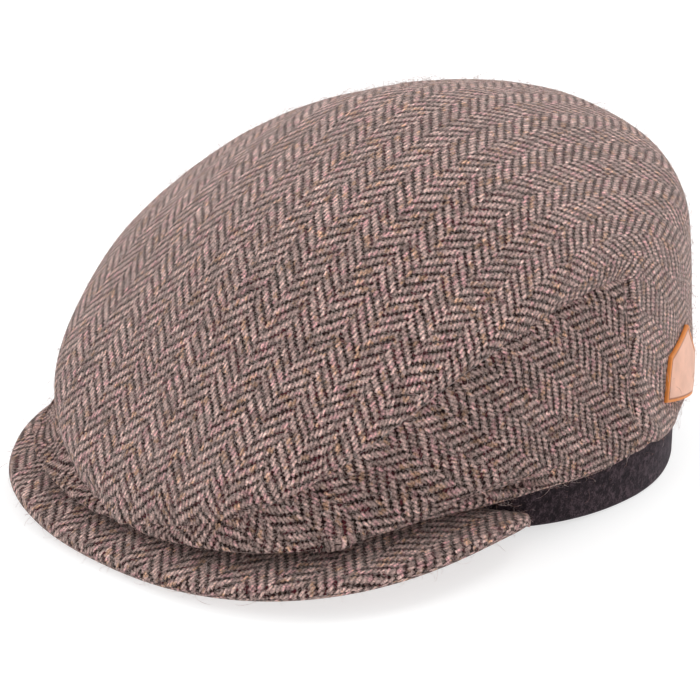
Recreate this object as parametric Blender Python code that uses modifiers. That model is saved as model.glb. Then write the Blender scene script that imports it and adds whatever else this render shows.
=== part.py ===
# Flat cap in herringbone tweed: top panel, two side panels, peak, wool ear-flap band and a plain leather tag.
# Metres, +Z up. The front of the cap faces -Y and the wearer's left is +X.
# The origin is on the floor under the middle of the cap.

import math

import bpy
from mathutils import Vector

# Head opening: the inside of the band. Reaches are measured from the middle of the crown,
# and the opening is widest a little behind it.
HEAD_HALF_WIDTH = 0.0896
HEAD_FRONT = 0.0985
HEAD_BACK = 0.0865
HEAD_WIDEST_BACK = 0.008
HEAD_FRONT_SQUARENESS = 2.1
HEAD_BACK_SQUARENESS = 1.9

# Crown: its widest reaches, measured from the same middle, and its top above the floor.
# At the sides it stands out beyond the head opening by the overhang.
CROWN_OVERHANG = 0.0064
CROWN_HALF_WIDTH = HEAD_HALF_WIDTH + CROWN_OVERHANG
CROWN_FRONT = 0.139
CROWN_BACK = 0.1035
CROWN_HEIGHT = 0.1245
CROWN_BACK_SQUARENESS = 2.05
APEX_BACK = 0.004
HEM_HEIGHT = 0.0165
HEM_FRONT_HEIGHT = 0.0200
CLOTH_THICKNESS = 0.0016

# Ear-flap band, which stands on the floor and is tucked up inside the hem.
BAND_THICKNESS = 0.0026
BAND_TUCK = 0.010
BAND_FRONT_LIFT = 0.017

# Peak.
PEAK_FRONT = 0.149
PEAK_HALF_WIDTH = 0.094
PEAK_WIDEST_Y = -0.058
PEAK_CORNER_DEPTH = 0.034
PEAK_SQUARENESS = 2.5
PEAK_THICKNESS = 0.0045
PEAK_FRONT_EDGE_HEIGHT = 0.0005
PEAK_SIDE_EDGE_HEIGHT = 0.0100
PEAK_CORNER_HEIGHT = 0.0040
PEAK_INNER_DROP = 0.0020
PEAK_END_TURN = math.radians(65)
PEAK_CORNER_SWEEP = math.radians(118)
PEAK_ARCH = 0.0005
PEAK_END_HEIGHT = 0.0065
PEAK_END_DROP = 6
PEAK_RIM_WIDTH = 0.4 * PEAK_THICKNESS
PEAK_RIM_ANGLE = math.radians(60)

# Leather tag on the wearer's left, towards the back.
TAG_WIDTH = 0.030
TAG_HEIGHT = 0.0245
TAG_SIDE_HEIGHT = 0.0150
TAG_THICKNESS = 0.0014
TAG_TURN = math.radians(113)
TAG_LEVEL = 1.88
TAG_LEAN = math.radians(20)

# The whole cap is moved back by this much, so that it stands over the origin.
MIDDLE_BACK = (PEAK_FRONT - CROWN_BACK) / 2

# Clearance between neighbouring pieces, the small step that finds the surface's slope,
# and the number of short moves that make up a distance along it.
GAP = 0.0003
PROBE = 0.01
MOVES = 8

# Level rings of the crown from the hem up, as shares of the crown's named sizes.
# Columns: name, reach in front, reach behind, reach at the side, squareness of the front,
# height in front, height at the side, height behind.
CROWN_RINGS = (
    ("roll",     0.985, 0.965, 0.990, 2.9, 0.100, 0.188, 0.234),
    ("bulge",    1.000, 0.975, 0.970, 2.6, 0.152, 0.312, 0.440),
    ("shoulder", 0.938, 0.939, 0.925, 2.4, 0.252, 0.641, 0.740),
    ("crest",    0.632, 0.764, 0.790, 1.95, 0.670, 0.768, 0.869),
    ("dome",     0.320, 0.420, 0.400, 1.95, 0.893, 0.930, 0.957),
)
APEX_LEVEL = len(CROWN_RINGS) + 1

# Dents and rolls of the soft cloth. Columns: name, turn in degrees, level,
# spread of the turn in degrees, spread of the level, depth as a share of the crown's height.
CROWN_DENTS = (
    ("front dip right", -38, 2.0, 34, 0.50, 0.030),
    ("front dip left",   30, 2.1, 26, 0.50, 0.016),
    ("seam pucker",      45, 2.2, 8, 0.35, 0.016),
    ("side hollow",      84, 2.0, 20, 0.50, 0.010),
    ("side fold left",   59, 1.05, 14, 0.50, 0.085),
    ("side fold right", -59, 1.05, 14, 0.50, 0.085),
)

# Seam between a side panel and the top panel, from its front tip to its rear corner.
# Levels of the seam at even steps of the way round.
SEAM_LEVELS = (1.75, 2.12, 2.53, 2.87, 3.00, 3.00)
SIDE_FRONT_TURN = math.radians(5)
SIDE_CORNER_TURN = math.radians(91)
SIDE_HEM_TURN = math.radians(96)

# Number of steps in the meshes.
SIDE_COLUMNS = 26
FRONT_COLUMNS = 4
BACK_COLUMNS = 24
SIDE_ROWS = 12
TOP_ROWS = 13
PEAK_COLUMNS = 40
PEAK_ROWS = 7
BAND_COLUMNS = 72
BAND_ROWS = 3
TAG_COLUMNS = 8
TAG_ROWS = 4

# The top panel's rows lie a little closer together near its lower edge than near the top.
TOP_ROW_POWER = 0.9

# Edges sharper than this stay crisp.
SHARP_ANGLE = math.radians(50)


def clear_scene():
    for item in list(bpy.data.objects):
        bpy.data.objects.remove(item, do_unlink=True)


def blend(a, b, share):
    return a + (b - a) * share


def spline(before, start, end, after, share):
    """Catmull-Rom value between start and end."""
    return 0.5 * (2 * start + (end - before) * share
                  + (2 * before - 5 * start + 4 * end - after) * share ** 2
                  + (3 * start - before - 3 * end + after) * share ** 3)


def hem_row():
    """The ring where the crown's outside meets its hem, just outside the band."""
    wrap = BAND_THICKNESS + GAP + CLOTH_THICKNESS
    return (HEAD_FRONT + wrap, HEAD_BACK + wrap, HEAD_HALF_WIDTH + wrap, HEAD_WIDEST_BACK,
            HEAD_FRONT_SQUARENESS, HEAD_BACK_SQUARENESS, HEM_FRONT_HEIGHT, HEM_HEIGHT, HEM_HEIGHT)


def crown_rows():
    rows = [hem_row()]
    for _, front, back, side, squareness, low, middle, high in CROWN_RINGS:
        rows.append((front * CROWN_FRONT, back * CROWN_BACK, side * CROWN_HALF_WIDTH, 0.0,
                     squareness, CROWN_BACK_SQUARENESS,
                     low * CROWN_HEIGHT, middle * CROWN_HEIGHT, high * CROWN_HEIGHT))
    rows.append((-APEX_BACK, APEX_BACK, 0.0, APEX_BACK, rows[-1][4], CROWN_BACK_SQUARENESS,
                 CROWN_HEIGHT, CROWN_HEIGHT, CROWN_HEIGHT))
    return rows


def ring_at(level):
    rows = crown_rows()
    below = [2 * a - b for a, b in zip(rows[0], rows[1])]
    last = rows[-2]
    beyond = (-last[1], -last[0], -last[2]) + last[3:]
    padded = [below] + rows + [beyond]
    index = min(int(level), APEX_LEVEL - 1)
    share = level - index
    return [spline(*values, share) for values in zip(*padded[index:index + 4])]


def round_point(front, back, side, widest_back, front_squareness, back_squareness, turn):
    """Point of an oval at a turn from the front, towards the wearer's left."""
    along = math.cos(turn)
    across = math.sin(turn)
    power = front_squareness if along > 0 else back_squareness
    size = (abs(along) ** power + abs(across) ** power) ** (1 / power)
    reach = front + widest_back if along > 0 else back - widest_back
    return side * across / size, widest_back - reach * along / size


def smooth_crown(turn, level):
    *oval, low, middle, high = ring_at(level)
    x, y = round_point(*oval, turn)
    end = low if math.cos(turn) > 0 else high
    return Vector((x, y, blend(middle, end, math.cos(turn) ** 2)))


def surface_normal(surface, turn, level):
    if level > APEX_LEVEL - 2 * PROBE:
        return Vector((0, 0, 1))
    across = surface(turn + PROBE, level) - surface(turn - PROBE, level)
    upward = surface(turn, level + PROBE) - surface(turn, level - PROBE)
    return across.cross(upward).normalized()


def dent_depth(turn, level):
    """How far the cloth is pushed in at a place, from the table of dents."""
    depth = 0.0
    for _, at_turn, at_level, wide, tall, share in CROWN_DENTS:
        around = math.remainder(turn - math.radians(at_turn), 2 * math.pi) / math.radians(wide)
        up = (level - at_level) / tall
        depth += share * CROWN_HEIGHT * math.exp(-around ** 2 - up ** 2)
    return depth


def crown_surface(turn, level):
    push = surface_normal(smooth_crown, turn, level) * dent_depth(turn, level)
    return smooth_crown(turn, level) - push


def cloth_shell(name, points, faces, thickness, material):
    """A cloth wall on the crown, given by turns and levels."""
    outer = [crown_surface(turn, level) for turn, level in points]
    inner = [place - surface_normal(crown_surface, turn, level) * thickness
             for place, (turn, level) in zip(outer, points)]
    return wall(name, outer, inner, faces, material)


def wall(name, outer, inner, faces, material):
    """A closed wall: the outer faces, the same faces on its inside, and its rim."""
    count = len(outer)
    edges = {(a, b) for face in faces for a, b in zip(face, face[1:] + face[:1])}
    rim = [(b, a, a + count, b + count) for a, b in edges if (b, a) not in edges]
    back = [tuple(index + count for index in reversed(face)) for face in faces]
    return mesh_object(name, outer + inner, list(faces) + back + sorted(rim), material)


def mesh_object(name, points, faces, material):
    mesh = bpy.data.meshes.new(name)
    mesh.from_pydata([(x, y + MIDDLE_BACK, z) for x, y, z in points], [], faces)
    mesh.validate()
    mesh.shade_smooth()
    mesh.set_sharp_from_angle(angle=SHARP_ANGLE)
    mesh.materials.append(material)
    item = bpy.data.objects.new(name, mesh)
    parts.objects.link(item)
    return item


def pull_level(turn, level, distance):
    """The level reached by moving a distance up the cloth."""
    for _ in range(MOVES):
        length = (smooth_crown(turn, level + PROBE) - smooth_crown(turn, level - PROBE)).length
        level += distance / MOVES * 2 * PROBE / length
    return level


def pull_turn(turn, level, distance):
    """The turn reached by moving a distance round the cloth."""
    for _ in range(MOVES):
        length = (smooth_crown(turn + PROBE, level) - smooth_crown(turn - PROBE, level)).length
        turn += distance / MOVES * 2 * PROBE / length
    return turn


def seam_level(share):
    """Level of the seam above a side panel, at a share of the way from its front to its corner."""
    steps = len(SEAM_LEVELS) - 1
    index = min(int(share * steps), steps - 1)
    padded = (SEAM_LEVELS[0],) + SEAM_LEVELS + (SEAM_LEVELS[-1],)
    return spline(*padded[index:index + 4], share * steps - index)


def seam_turn(share):
    return blend(SIDE_FRONT_TURN, SIDE_CORNER_TURN, share)


def rear_turn(level):
    """Turn of the upright seam behind a side panel."""
    return blend(SIDE_HEM_TURN, SIDE_CORNER_TURN, level / SEAM_LEVELS[-1])


def grid_faces(columns, rows, start=0):
    """Faces of a grid stored column by column, each column from the bottom up."""
    step = rows + 1
    faces = []
    for column in range(columns):
        for row in range(rows):
            corner = start + column * step + row
            faces.append((corner, corner + step, corner + step + 1, corner + 1))
    return faces


def side_panel(name, hand, material):
    points = []
    for column in range(SIDE_COLUMNS + 1):
        share = column / SIDE_COLUMNS
        top = pull_level(seam_turn(share), seam_level(share), -GAP / 2)
        for row in range(SIDE_ROWS + 1):
            level = top * row / SIDE_ROWS
            rear = rear_turn(seam_level(1) * row / SIDE_ROWS)
            turn = blend(SIDE_FRONT_TURN, rear, share)
            if column == 0:
                turn = pull_turn(turn, level, GAP / 2)
            if column == SIDE_COLUMNS:
                turn = pull_turn(turn, level, -GAP / 2)
            points.append((hand * turn, level))
    faces = grid_faces(SIDE_COLUMNS, SIDE_ROWS)
    if hand < 0:
        faces = [tuple(reversed(face)) for face in faces]
    return cloth_shell(name, points, faces, CLOTH_THICKNESS, material)


def top_columns():
    """Turn and lowest level of each column of the top panel, all the way round from the front."""
    half = []
    for column in range(FRONT_COLUMNS // 2):
        half.append((SIDE_FRONT_TURN * 2 * column / FRONT_COLUMNS, seam_level(0), "front"))
    for column in range(SIDE_COLUMNS + 1):
        share = column / SIDE_COLUMNS
        half.append((seam_turn(share), seam_level(share), "seam"))
    for column in range(1, BACK_COLUMNS // 2 + 1):
        turn = blend(SIDE_CORNER_TURN, math.pi, 2 * column / BACK_COLUMNS)
        half.append((turn, seam_level(1), "back"))
    other = [(-turn, level, place) for turn, level, place in reversed(half[1:-1])]
    return half + other


def top_panel(name, material):
    columns = top_columns()
    count = len(columns)
    points = []
    for turn, lowest, place in columns:
        start = lowest
        if place == "seam":
            start = pull_level(turn, lowest, GAP / 2)
        for row in range(TOP_ROWS):
            share = row / TOP_ROWS
            points.append((turn, blend(start, APEX_LEVEL, share ** TOP_ROW_POWER)))
    faces = []
    for column in range(count):
        here = column * TOP_ROWS
        there = (column + 1) % count * TOP_ROWS
        for row in range(TOP_ROWS - 1):
            faces.append((here + row, there + row, there + row + 1, here + row + 1))
        faces.append((here + TOP_ROWS - 1, there + TOP_ROWS - 1, count * TOP_ROWS))
    points.append((0.0, APEX_LEVEL))
    front = FRONT_COLUMNS // 2
    corner = front + SIDE_COLUMNS
    front_span = [index % count for index in range(-front, front + 1)]
    back_span = list(range(corner, count - corner + 1))
    add_flap(points, faces, front_span, 0.0, front_half, seam_level(0))
    add_flap(points, faces, back_span, math.pi, tail_half, seam_level(1))
    return cloth_shell(name, points, faces, CLOTH_THICKNESS, material)


def front_half(level):
    """Half the turn of the front flap, between the tips of the side panels."""
    return pull_turn(SIDE_FRONT_TURN, level, -GAP / 2)


def tail_half(level):
    """Half the turn of the tail, between the rear seams of the side panels."""
    return math.pi - pull_turn(rear_turn(level), level, GAP / 2)


def add_flap(points, faces, span, middle, half, highest):
    """Cloth from the hem up to the lowest points of a span of the top panel's columns."""
    start = len(points)
    for place in range(len(span)):
        share = 2 * place / (len(span) - 1) - 1
        for row in range(SIDE_ROWS):
            level = highest * row / SIDE_ROWS
            points.append((middle + share * half(level), level))
    faces.extend(grid_faces(len(span) - 1, SIDE_ROWS - 1, start))
    for place, (here, there) in enumerate(zip(span, span[1:])):
        low = start + (place + 1) * SIDE_ROWS - 1
        faces.append((low, low + SIDE_ROWS, there * TOP_ROWS, here * TOP_ROWS))


def head_oval(extra):
    """The oval round the band's inner face, and a distance outside it."""
    return (HEAD_FRONT + extra, HEAD_BACK + extra, HEAD_HALF_WIDTH + extra, HEAD_WIDEST_BACK,
            HEAD_FRONT_SQUARENESS, HEAD_BACK_SQUARENESS)


def ear_band(name, material):
    """The band is an open ring round the head, thickened outwards."""
    top = HEM_HEIGHT + BAND_TUCK
    points = []
    for column in range(BAND_COLUMNS):
        turn = 2 * math.pi * column / BAND_COLUMNS
        x, y = round_point(*head_oval(0), turn)
        bottom = BAND_FRONT_LIFT * max(math.cos(turn), 0) ** 2
        for row in range(BAND_ROWS + 1):
            points.append((x, y, blend(bottom, top, row / BAND_ROWS)))
    step = BAND_ROWS + 1
    faces = []
    for column in range(BAND_COLUMNS):
        here = column * step
        there = (column + 1) % BAND_COLUMNS * step
        for row in range(BAND_ROWS):
            faces.append((here + row, there + row, there + row + 1, here + row + 1))
    item = mesh_object(name, points, faces, material)
    thicken(item, BAND_THICKNESS, 1)
    return item


def thicken(item, thickness, side):
    thick = item.modifiers.new("Wall", "SOLIDIFY")
    thick.thickness = thickness
    thick.offset = side
    thick.use_even_offset = True


def peak_edge(turn):
    """Point of the peak's outer edge, for a turn of the head opening."""
    sweep = turn / PEAK_END_TURN * PEAK_CORNER_SWEEP
    x, y = round_point(PEAK_FRONT, PEAK_CORNER_DEPTH + PEAK_WIDEST_Y, PEAK_HALF_WIDTH,
                       PEAK_WIDEST_Y, PEAK_SQUARENESS, PEAK_SQUARENESS, sweep)
    end = PEAK_FRONT_EDGE_HEIGHT if math.cos(sweep) > 0 else PEAK_CORNER_HEIGHT
    height = blend(PEAK_SIDE_EDGE_HEIGHT, end, math.cos(sweep) ** 2)
    return x, y, height + PEAK_THICKNESS


def peak(name, material):
    """The peak is a curved crescent with an upright inner edge against the band."""
    points = []
    for column in range(PEAK_COLUMNS + 1):
        turn = PEAK_END_TURN * (2 * column / PEAK_COLUMNS - 1)
        inner_x, inner_y = round_point(*head_oval(BAND_THICKNESS + GAP), turn)
        inner_z = blend(HEM_FRONT_HEIGHT - PEAK_INNER_DROP, PEAK_END_HEIGHT,
                        abs(turn / PEAK_END_TURN) ** PEAK_END_DROP)
        edge_x, edge_y, edge_z = peak_edge(turn)
        for row in range(PEAK_ROWS + 1):
            share = row / PEAK_ROWS
            arch = PEAK_ARCH * 4 * share * (1 - share)
            points.append(Vector((blend(inner_x, edge_x, share), blend(inner_y, edge_y, share),
                                  blend(inner_z, edge_z, share) + arch)))
    faces = [tuple(reversed(face)) for face in grid_faces(PEAK_COLUMNS, PEAK_ROWS)]
    under = [point - Vector((0, 0, PEAK_THICKNESS)) for point in points]
    item = wall(name, points, under, faces, material)
    rim = item.modifiers.new("Rim", "BEVEL")
    rim.width = PEAK_RIM_WIDTH
    rim.segments = 2
    rim.limit_method = "ANGLE"
    rim.angle_limit = PEAK_RIM_ANGLE
    return item


def leather_tag(name, material):
    """A bare tag with a gabled top, which follows the cloth's curve and leans back a little."""
    points = []
    for column in range(TAG_COLUMNS + 1):
        share = 2 * column / TAG_COLUMNS - 1
        across = share * TAG_WIDTH / 2
        top = blend(TAG_HEIGHT, TAG_SIDE_HEIGHT, abs(share))
        for row in range(TAG_ROWS + 1):
            up = top * row / TAG_ROWS - TAG_HEIGHT / 2
            turn = pull_turn(TAG_TURN, TAG_LEVEL,
                             across * math.cos(TAG_LEAN) + up * math.sin(TAG_LEAN))
            level = pull_level(turn, TAG_LEVEL,
                               up * math.cos(TAG_LEAN) - across * math.sin(TAG_LEAN))
            lift = surface_normal(crown_surface, turn, level) * GAP
            points.append(crown_surface(turn, level) + lift)
    item = mesh_object(name, points, grid_faces(TAG_COLUMNS, TAG_ROWS), material)
    thicken(item, TAG_THICKNESS, 1)
    return item


def finish(name, colour, roughness):
    material = bpy.data.materials.new(name)
    material.use_nodes = True
    shader = material.node_tree.nodes["Principled BSDF"]
    shader.inputs["Base Color"].default_value = (*colour, 1)
    shader.inputs["Roughness"].default_value = roughness
    shader.inputs["Metallic"].default_value = 0
    material.diffuse_color = (*colour, 1)
    return material


def build():
    top_panel("top_panel", finish("top_tweed", (0.25, 0.19, 0.18), 0.95))
    side_panel("side_panel_left", 1, finish("left_tweed", (0.22, 0.16, 0.15), 0.95))
    side_panel("side_panel_right", -1, finish("right_tweed", (0.22, 0.16, 0.15), 0.95))
    peak("peak", finish("peak_tweed", (0.24, 0.18, 0.17), 0.95))
    ear_band("ear_band", finish("black_wool", (0.025, 0.02, 0.024), 0.98))
    leather_tag("leather_tag", finish("tan_leather", (0.75, 0.33, 0.13), 0.6))


clear_scene()
parts = bpy.data.collections.new("flat_cap")
bpy.context.scene.collection.children.link(parts)
build()
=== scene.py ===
import math

import bmesh
import bpy
import numpy as np
from mathutils import Matrix, Vector


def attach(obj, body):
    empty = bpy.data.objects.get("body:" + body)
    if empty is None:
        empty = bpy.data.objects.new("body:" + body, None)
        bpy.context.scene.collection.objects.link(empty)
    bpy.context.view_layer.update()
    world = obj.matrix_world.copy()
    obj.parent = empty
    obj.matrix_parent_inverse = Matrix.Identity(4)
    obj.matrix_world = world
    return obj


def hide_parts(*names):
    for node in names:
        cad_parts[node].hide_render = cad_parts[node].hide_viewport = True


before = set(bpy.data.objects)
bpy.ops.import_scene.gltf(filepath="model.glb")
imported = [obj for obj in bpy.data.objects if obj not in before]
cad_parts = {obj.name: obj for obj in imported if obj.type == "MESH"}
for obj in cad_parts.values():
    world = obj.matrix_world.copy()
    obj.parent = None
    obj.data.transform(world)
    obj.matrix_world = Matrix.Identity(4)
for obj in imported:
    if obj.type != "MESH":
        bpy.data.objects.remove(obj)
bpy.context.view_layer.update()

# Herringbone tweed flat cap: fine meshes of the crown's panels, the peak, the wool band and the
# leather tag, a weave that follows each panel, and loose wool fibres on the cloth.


def blend(a, b, share):
    return a + (b - a) * share


def smooth(low, high, value):
    share = np.clip((value - low) / (high - low), 0.0, 1.0)
    return share * share * (3 - 2 * share)


def spline(before, start, end, after, share):
    return 0.5 * (2 * start + (end - before) * share
                  + (2 * before - 5 * start + 4 * end - after) * share ** 2
                  + (3 * start - before - 3 * end + after) * share ** 3)


def unit(vectors):
    return vectors / np.maximum(np.linalg.norm(vectors, axis=-1, keepdims=True), 1e-12)


# soft bumps without any grid: a few sine waves in fixed directions
def waviness(points, size, seed, count=7):
    rng = np.random.default_rng(seed)
    total = np.zeros(points.shape[:-1])
    for _ in range(count):
        direction = unit(rng.normal(size=3)) * rng.uniform(0.6, 1.4) * 2 * math.pi / size
        total += np.sin(points @ direction + rng.uniform(0, 2 * math.pi))
    return total / math.sqrt(count)


# sizes that the solids have too, in metres
head = {"halfWidth": 0.0896, "front": 0.0985, "back": 0.0865, "widestBack": 0.008,
        "frontSquareness": 2.1, "backSquareness": 1.9}
band = {"thickness": 0.0026, "tuck": 0.010, "frontLift": 0.017}
crown = {
    "halfWidth": 0.096, "front": 0.139, "back": 0.1035, "height": 0.1245, "backSquareness": 2.05,
    "apexBack": 0.004, "apexFlat": 0.03, "hemHeight": 0.0165, "hemFrontHeight": 0.020, "cloth": 0.0016,
    # name, reach front, back, side, front squareness, height front, side, back
    "rings": (
        ("roll",     0.985, 0.965, 0.990, 2.9, 0.100, 0.188, 0.234),
        ("bulge",    1.000, 0.975, 0.970, 2.6, 0.152, 0.312, 0.440),
        ("shoulder", 0.938, 0.939, 0.925, 2.4, 0.252, 0.641, 0.740),
        ("crest",    0.632, 0.764, 0.790, 1.95, 0.670, 0.768, 0.869),
        ("dome",     0.320, 0.420, 0.400, 1.95, 0.893, 0.930, 0.957),
    ),
    # name, turn in degrees, level, spread of the turn, spread of the level, depth as a share of the height
    "dents": (
        ("front dip right", -38, 2.0, 34, 0.50, 0.030),
        ("front dip left",   30, 2.1, 26, 0.50, 0.016),
        ("seam pucker",      45, 2.2, 8, 0.35, 0.016),
        ("side hollow",      84, 2.0, 20, 0.50, 0.010),
        ("side fold left",   59, 1.05, 14, 0.50, 0.085),
        ("side fold right", -59, 1.05, 14, 0.50, 0.085),
    ),
}
# levels of the seam over a side panel at even steps from its start to its rear corner; in front of
# the start its tip drops to the hem
seam = {"levels": (1.75, 2.12, 2.53, 2.87, 3.00, 3.00), "startTurn": math.radians(5),
        "cornerTurn": math.radians(91), "hemTurn": math.radians(96),
        "tipTurn": math.radians(1.2), "tipSpan": math.radians(7), "tipDrop": 0.65, "gap": 0.00003,
        "valley": 0.0011, "valleyWidth": 0.0019, "roll": 0.00035, "rollAway": 0.0042, "rollWidth": 0.0024}
# side fold, in degrees and levels: where its crease runs, how far the cloth bulges over it and lies
# back below it, and how the hem rides up behind it
fold = {"turns": (54, 60, 66, 72, 78), "levels": (1.70, 1.66, 1.66, 1.42, 1.20), "middle": 66, "spread": 8,
        "bulge": 0.0024, "bulgeReach": 0.45, "creaseBelow": 0.04, "creaseAbove": 0.10,
        "tuck": 0.0012, "tuckFrom": 0.3, "tuckTo": 0.9,
        "hemTurn": 92, "hemSpread": 9, "hemLift": 0.45, "hemReach": 2.2}
gap = 0.0003                # between neighbouring pieces
middleBack = 0.02275        # from the middle of the crown to the origin
topLevel = len(crown["rings"]) + 1


def crownRows():
    wrap = band["thickness"] + gap + crown["cloth"]
    rows = [(head["front"] + wrap, head["back"] + wrap, head["halfWidth"] + wrap, head["widestBack"],
             head["frontSquareness"], head["backSquareness"],
             crown["hemFrontHeight"], crown["hemHeight"], crown["hemHeight"])]
    tall = crown["height"]
    for _, front, back, side, squareness, low, middle, high in crown["rings"]:
        rows.append((front * crown["front"], back * crown["back"], side * crown["halfWidth"], 0.0,
                     squareness, crown["backSquareness"], low * tall, middle * tall, high * tall))
    behind = crown["apexBack"]
    rows.append((-behind, behind, 0.0, behind, rows[-1][4], crown["backSquareness"], tall, tall, tall))
    rows = np.array(rows)
    last = rows[-2]
    beyond = np.concatenate([[-last[1], -last[0], -last[2]], last[3:]])
    return np.vstack([2 * rows[0] - rows[1], rows, beyond])


rowTable = crownRows()


def ringAt(level):
    index = np.clip(np.floor(level).astype(int), 0, topLevel - 1)
    share = (level - index)[..., None]
    return spline(rowTable[index], rowTable[index + 1], rowTable[index + 2], rowTable[index + 3], share)


def roundPoint(front, back, side, widestBack, frontSquareness, backSquareness, turn):
    along, across = np.cos(turn), np.sin(turn)
    ahead = along > 0
    power = np.where(ahead, frontSquareness, backSquareness)
    size = (np.abs(along) ** power + np.abs(across) ** power) ** (1 / power)
    reach = np.where(ahead, front + widestBack, back - widestBack)
    return side * across / size, widestBack - reach * along / size


def smoothCrown(turn, level):
    ring = np.moveaxis(ringAt(level), -1, 0)
    x, y = roundPoint(*ring[:6], turn)
    end = np.where(np.cos(turn) > 0, ring[6], ring[8])
    return np.stack([x, y, blend(ring[7], end, np.cos(turn) ** 2)], -1)


def slopeOf(surface, turn, level, step=0.01):
    high = np.minimum(level + step, topLevel - 1e-6)
    low = np.minimum(level - step, topLevel - 2 * step)
    across = surface(turn + step, level) - surface(turn - step, level)
    upward = surface(turn, high) - surface(turn, low)
    normal = unit(np.cross(across, upward))
    flat = (level > topLevel - crown["apexFlat"])[..., None]
    return np.where(flat, np.array([0.0, 0.0, 1.0]), normal)


def dentDepth(turn, level):
    depth = np.zeros(turn.shape)
    for _, atTurn, atLevel, wide, tall, share in crown["dents"]:
        around = (turn - math.radians(atTurn) + math.pi) % (2 * math.pi) - math.pi
        depth += share * crown["height"] * np.exp(-(around / math.radians(wide)) ** 2
                                                  - ((level - atLevel) / tall) ** 2)
    return depth


def crownSurface(turn, level):
    return smoothCrown(turn, level) - slopeOf(smoothCrown, turn, level) * dentDepth(turn, level)[..., None]


def seamLevel(share):
    levels = np.array((seam["levels"][0],) + seam["levels"] + (seam["levels"][-1],))
    steps = len(seam["levels"]) - 1
    index = np.clip(np.floor(share * steps).astype(int), 0, steps - 1)
    return spline(levels[index], levels[index + 1], levels[index + 2], levels[index + 3],
                  share * steps - index)


def rearTurn(level):
    return blend(seam["hemTurn"], seam["cornerTurn"], level / seam["levels"][-1])


# a value on a coarse grid, made finer along its first axis with smooth steps
def refineRows(values, factor, cyclic):
    if cyclic:
        padded = np.concatenate([values[-2:-1], values, values[1:2]])
    else:
        padded = np.concatenate([2 * values[:1] - values[1:2], values, 2 * values[-1:] - values[-2:-1]])
    made = []
    for index in range(len(values) - 1):
        share = (np.arange(factor) / factor).reshape((-1,) + (1,) * (values.ndim - 1))
        made.append(spline(padded[index], padded[index + 1], padded[index + 2], padded[index + 3], share))
    return np.concatenate(made + [values[-1:]])


def refineGrid(values, factor, cyclic=False):
    finer = refineRows(values, factor, cyclic)
    return np.swapaxes(refineRows(np.swapaxes(finer, 0, 1), factor, False), 0, 1)


def gridFaces(grid, flip=False):
    corners = np.stack([grid[:-1, :-1], grid[1:, :-1], grid[1:, 1:], grid[:-1, 1:]], -1).reshape(-1, 4)
    faces = []
    for corner in corners.tolist():
        face = [a for a, b in zip(corner, corner[1:] + corner[:1]) if a != b]
        if len(face) > 2:
            faces.append(face[::-1] if flip else face)
    return faces


# a distance along the surface is made up of a few short moves
def pullLevel(turn, level, distance, step=0.01, moves=8):
    for _ in range(moves):
        length = np.linalg.norm(smoothCrown(turn, level + step) - smoothCrown(turn, level - step), axis=-1)
        level = level + distance / moves * 2 * step / length
    return level


def pullTurn(turn, level, distance, step=0.01, moves=8):
    for _ in range(moves):
        length = np.linalg.norm(smoothCrown(turn + step, level) - smoothCrown(turn - step, level), axis=-1)
        turn = turn + distance / moves * 2 * step / length
    return turn


# the seam drops to the hem at its front tip
def frontLevel(turn):
    level = seamLevel(np.clip((turn - seam["startTurn"]) / (seam["cornerTurn"] - seam["startTurn"]), 0, 1))
    tip = np.clip(1 - (turn - seam["tipTurn"]) / seam["tipSpan"], 0, 1)
    return level - seam["tipDrop"] * tip ** 2


# steps of the meshes; columns lie closer together towards the front tip, rows towards the apex
topCut = {"frontColumns": 8, "sideColumns": 160, "backColumns": 92, "rows": 72, "flapRows": 44,
          "rowPower": 0.95}
sideCut = {"columns": 168, "rows": 48, "columnPower": 1.1}


# places of a side panel on the crown: their turns and levels, and the grid that joins them
def sideLayout(hand):
    share = np.linspace(0, 1, sideCut["columns"] + 1)[:, None] ** sideCut["columnPower"]
    rise = np.linspace(0, 1, sideCut["rows"] + 1)[None, :]
    seamTurn = blend(seam["tipTurn"], seam["cornerTurn"], share)
    level = pullLevel(seamTurn, frontLevel(seamTurn), -seam["gap"] / 2) * rise
    rear = rearTurn(seam["levels"][-1] * rise)
    turn = blend(seam["tipTurn"], rear, share)
    turn[0] = pullTurn(turn[0], level[0], seam["gap"] / 2)
    turn[-1] = pullTurn(turn[-1], level[-1], -seam["gap"] / 2)
    grid = np.arange(turn.size).reshape(turn.shape)
    return hand * turn.ravel(), level.ravel(), [(grid, False)]


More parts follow.
